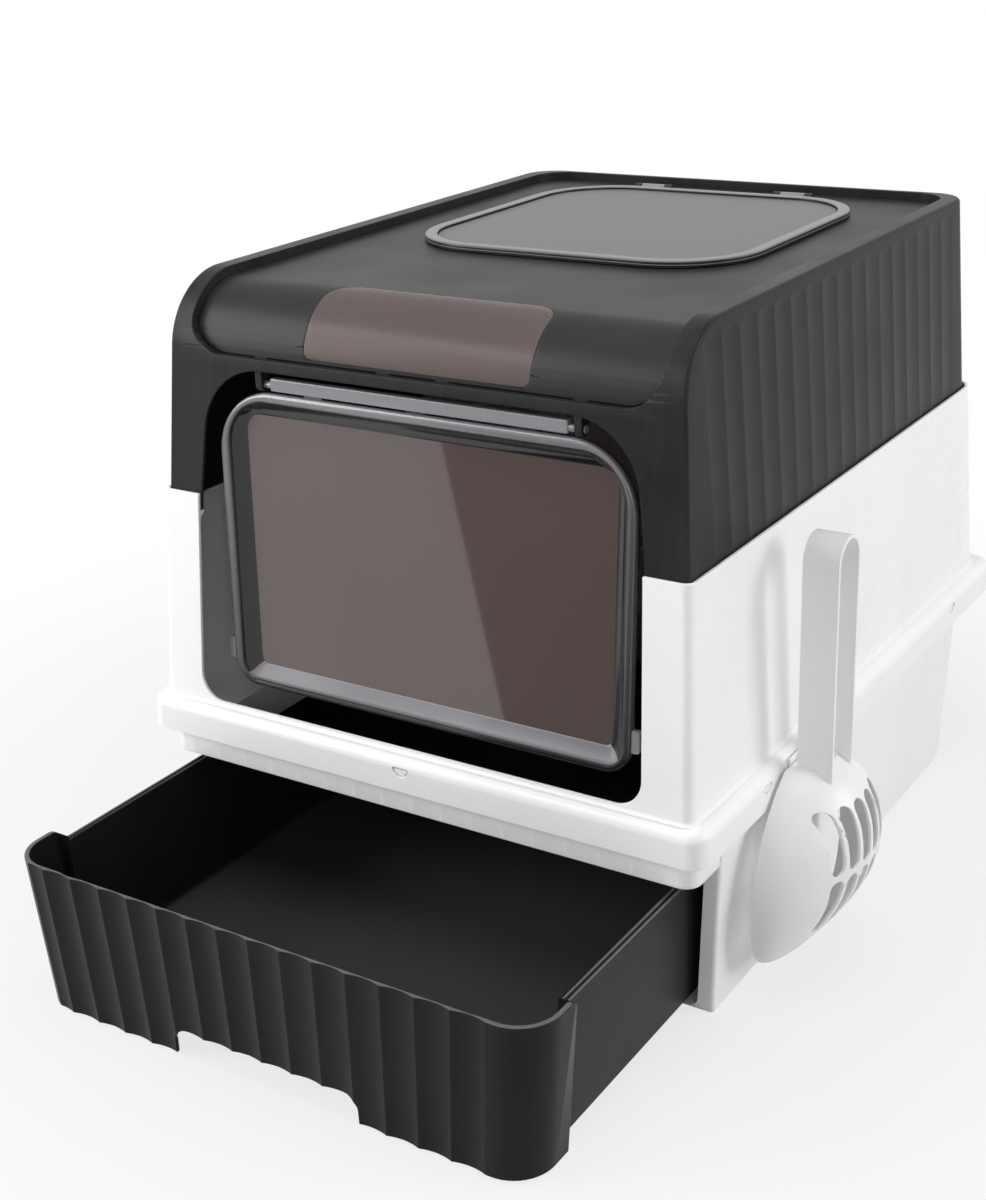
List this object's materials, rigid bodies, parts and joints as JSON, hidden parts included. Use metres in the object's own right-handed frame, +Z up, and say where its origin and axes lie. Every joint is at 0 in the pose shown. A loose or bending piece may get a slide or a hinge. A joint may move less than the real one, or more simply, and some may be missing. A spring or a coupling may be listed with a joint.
{
  "type": "drawer litter box",
  "caption": "Enclosed litter box with a swing flap, a roof hatch, a pull-out drawer tray and a scoop on a side hook.",
  "frame": {"origin": "centre of the base's flat underside", "axes": "+Z up, the door and the drawer face -Y, the scoop is on the +X side"},
  "size_m": [0.4872, 0.6872, 0.447],
  "materials": {
    "cover_black": "satin moulded plastic",
    "roof_black": "satin moulded plastic",
    "drawer_black": "satin moulded plastic",
    "housing_white": "semi-gloss moulded plastic",
    "scoop_white": "semi-gloss moulded plastic",
    "smoke_frame": "polished smoked plastic",
    "smoke_pane": "polished smoked plastic",
    "pin_steel": "drawn wire"
  },
  "bodies": {
    "base": {"base_shell": "housing_white", "drawer_runners": "housing_white", "mid_frame": "housing_white", "frame_clips": "housing_white", "scoop_hook": "scoop_white"},
    "drawer": {"drawer_tray": "drawer_black"},
    "cover": {"cover_shell": "cover_black", "roof_panel": "roof_black", "roof_panel_tabs": "roof_black", "front_window": "smoke_pane", "hatch_pins": "pin_steel", "flap_brackets": "cover_black"},
    "hatch": {"hatch_rim": "smoke_frame", "hatch_pane": "smoke_pane"},
    "flap": {"flap_bezel": "smoke_frame", "flap_pane": "smoke_pane", "flap_hinge_bar": "smoke_frame", "flap_pins": "smoke_frame"},
    "scoop": {"scoop": "scoop_white"}
  },
  "joints": [
    {"name": "drawer_slide", "type": "slide", "parent": "base", "child": "drawer", "axis": [0, -1, 0], "range_m": [-0.159, 0.15]},
    {"name": "cover_lift", "type": "slide", "parent": "base", "child": "cover", "axis": [0, 0, 1], "range_m": [0, 0.16]},
    {"name": "hatch_hinge", "type": "hinge", "parent": "cover", "child": "hatch", "pos_m": [0, 0.204, 0.4439], "axis": [-1, 0, 0], "range_deg": [0, 105]},
    {"name": "flap_swing", "type": "hinge", "parent": "cover", "child": "flap", "pos_m": [0, -0.2255, 0.382], "axis": [1, 0, 0], "range_deg": [-75, 75]},
    {"name": "scoop_lift", "type": "slide", "parent": "base", "child": "scoop", "axis": [0, 0, 1], "range_m": [0, 0.1]}
  ]
}
